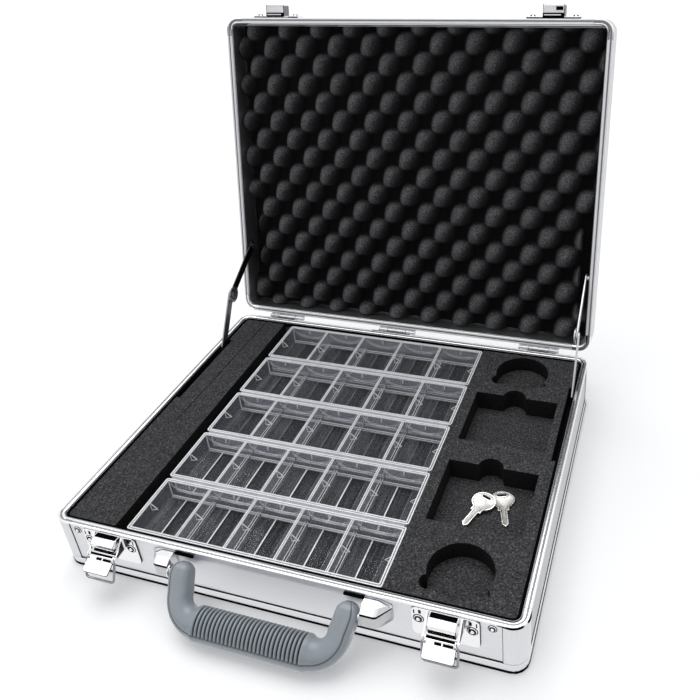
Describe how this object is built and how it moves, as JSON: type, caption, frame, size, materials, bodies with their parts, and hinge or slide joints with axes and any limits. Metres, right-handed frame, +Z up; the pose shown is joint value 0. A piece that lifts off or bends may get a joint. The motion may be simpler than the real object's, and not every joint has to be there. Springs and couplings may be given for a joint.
{
  "type": "poker chip case",
  "caption": "Open aluminium carrying case for poker chips, with clear chip trays, foam recesses, keys, draw latches, a folding handle and folding lid stays.",
  "frame": {"origin": "middle of the flat underside of the base", "axes": "+Z up, -Y towards the handle and latches, +X to the right seen from the handle"},
  "size_m": [0.3806, 0.4523, 0.3652],
  "materials": {
    "satin_aluminium": "satin",
    "bright_rim": "bright anodised",
    "chrome": "polished",
    "stay_steel": "dark nickel",
    "key_nickel": "nickel plated",
    "charcoal_foam": "fine speckled foam",
    "egg_foam": "matt convoluted foam",
    "handle_plastic": "satin",
    "clear_plastic": "clear moulded plastic"
  },
  "bodies": {
    "case": {"base_back_left_post": "satin_aluminium", "base_back_left_rim_corner": "chrome", "base_back_panel": "satin_aluminium", "base_back_right_post": "satin_aluminium", "base_back_right_rim_corner": "chrome", "base_back_rim": "bright_rim", "base_bottom_panel": "satin_aluminium", "base_bottom_rail": "satin_aluminium", "base_front_left_post": "satin_aluminium", "base_front_left_rim_corner": "chrome", "base_front_panel": "satin_aluminium", "base_front_right_post": "satin_aluminium", "base_front_right_rim_corner": "chrome", "base_front_rim": "bright_rim", "base_left_panel": "satin_aluminium", "base_left_rim": "bright_rim", "base_right_panel": "satin_aluminium", "base_right_rim": "bright_rim", "foam_floor": "charcoal_foam", "foam_left_block": "charcoal_foam", "foam_right_block": "charcoal_foam", "handle_left_bracket": "chrome", "handle_right_bracket": "chrome", "hinge_left_base_leaf": "satin_aluminium", "hinge_middle_base_leaf": "satin_aluminium", "hinge_right_base_leaf": "satin_aluminium", "latch_left_plate": "chrome", "latch_right_plate": "chrome"},
    "lid": {"hinge_left_lid_leaf": "satin_aluminium", "hinge_middle_lid_leaf": "satin_aluminium", "hinge_right_lid_leaf": "satin_aluminium", "lid_back_left_rim_corner": "chrome", "lid_back_right_rim_corner": "chrome", "lid_back_rim": "bright_rim", "lid_catch_left": "chrome", "lid_catch_right": "chrome", "lid_egg_crate_foam": "egg_foam", "lid_front_left_rim_corner": "chrome", "lid_front_right_rim_corner": "chrome", "lid_front_rim": "bright_rim", "lid_left_rim": "bright_rim", "lid_right_rim": "bright_rim", "lid_side_band": "satin_aluminium", "lid_top_panel": "satin_aluminium"},
    "keys": {"key_under": "key_nickel", "key_over": "key_nickel"},
    "handle": {"handle": "handle_plastic"},
    "chip_tray_1": {"chip_tray_1": "clear_plastic"},
    "chip_tray_2": {"chip_tray_2": "clear_plastic"},
    "chip_tray_3": {"chip_tray_3": "clear_plastic"},
    "chip_tray_4": {"chip_tray_4": "clear_plastic"},
    "chip_tray_5": {"chip_tray_5": "clear_plastic"},
    "latch_left_lever": {"latch_left_lever": "chrome"},
    "latch_left_bail": {"latch_left_bail": "chrome"},
    "stay_left_lower_arm": {"stay_left_lower_arm": "stay_steel"},
    "stay_left_upper_arm": {"stay_left_upper_arm": "stay_steel"},
    "latch_right_lever": {"latch_right_lever": "chrome"},
    "latch_right_bail": {"latch_right_bail": "chrome"},
    "stay_right_lower_arm": {"stay_right_lower_arm": "stay_steel"},
    "stay_right_upper_arm": {"stay_right_upper_arm": "stay_steel"}
  },
  "joints": [
    {"name": "lid_hinge", "type": "hinge", "parent": "case", "child": "lid", "pos_m": [0, 0.158, 0.0482], "axis": [-1, 0, 0], "range_deg": [-102.3, 0]},
    {"name": "stay_left_base_pivot", "type": "hinge", "parent": "case", "child": "stay_left_lower_arm", "pos_m": [0, 0.0885, 0.0332], "axis": [-1, 0, 0], "range_deg": [-117.46, 0.5]},
    {"name": "stay_left_elbow", "type": "hinge", "parent": "stay_left_lower_arm", "child": "stay_left_upper_arm", "pos_m": [0, 0.1268, 0.0903], "axis": [-1, 0, 0], "range_deg": [-0.5, 133.69]},
    {"name": "stay_right_base_pivot", "type": "hinge", "parent": "case", "child": "stay_right_lower_arm", "pos_m": [0, 0.0885, 0.0332], "axis": [-1, 0, 0], "range_deg": [-117.46, 0.5]},
    {"name": "stay_right_elbow", "type": "hinge", "parent": "stay_right_lower_arm", "child": "stay_right_upper_arm", "pos_m": [0, 0.1268, 0.0903], "axis": [-1, 0, 0], "range_deg": [-0.5, 133.69]},
    {"name": "latch_left_lever_pivot", "type": "hinge", "parent": "case", "child": "latch_left_lever", "pos_m": [0, -0.1665, 0.0345], "axis": [-1, 0, 0], "range_deg": [0, 117]},
    {"name": "latch_left_bail_pivot", "type": "hinge", "parent": "latch_left_lever", "child": "latch_left_bail", "pos_m": [0, -0.16917, 0.03314], "axis": [-1, 0, 0], "range_deg": [0, 39]},
    {"name": "latch_right_lever_pivot", "type": "hinge", "parent": "case", "child": "latch_right_lever", "pos_m": [0, -0.1665, 0.0345], "axis": [-1, 0, 0], "range_deg": [0, 132]},
    {"name": "latch_right_bail_pivot", "type": "hinge", "parent": "latch_right_lever", "child": "latch_right_bail", "pos_m": [0, -0.16873, 0.03249], "axis": [-1, 0, 0], "range_deg": [0, 38]},
    {"name": "handle_pivot", "type": "hinge", "parent": "case", "child": "handle", "pos_m": [0, -0.1645, 0.0345], "axis": [-1, 0, 0], "range_deg": [0, 90]},
    {"name": "chip_tray_1_lift", "type": "slide", "parent": "case", "child": "chip_tray_1", "axis": [0, 0, 1], "range_m": [0, 0.06]},
    {"name": "chip_tray_2_lift", "type": "slide", "parent": "case", "child": "chip_tray_2", "axis": [0, 0, 1], "range_m": [0, 0.06]},
    {"name": "chip_tray_3_lift", "type": "slide", "parent": "case", "child": "chip_tray_3", "axis": [0, 0, 1], "range_m": [0, 0.06]},
    {"name": "chip_tray_4_lift", "type": "slide", "parent": "case", "child": "chip_tray_4", "axis": [0, 0, 1], "range_m": [0, 0.06]},
    {"name": "chip_tray_5_lift", "type": "slide", "parent": "case", "child": "chip_tray_5", "axis": [0, 0, 1], "range_m": [0, 0.06]},
    {"name": "keys_lift", "type": "slide", "parent": "case", "child": "keys", "axis": [0, 0, 1], "range_m": [0, 0.06]}
  ],
  "couplings": [
    {"joint": "stay_left_base_pivot", "follows": "lid_hinge", "ratio": 1.1433},
    {"joint": "stay_left_elbow", "follows": "lid_hinge", "ratio": -1.302},
    {"joint": "stay_right_base_pivot", "follows": "lid_hinge", "ratio": 1.1433},
    {"joint": "stay_right_elbow", "follows": "lid_hinge", "ratio": -1.302}
  ]
}
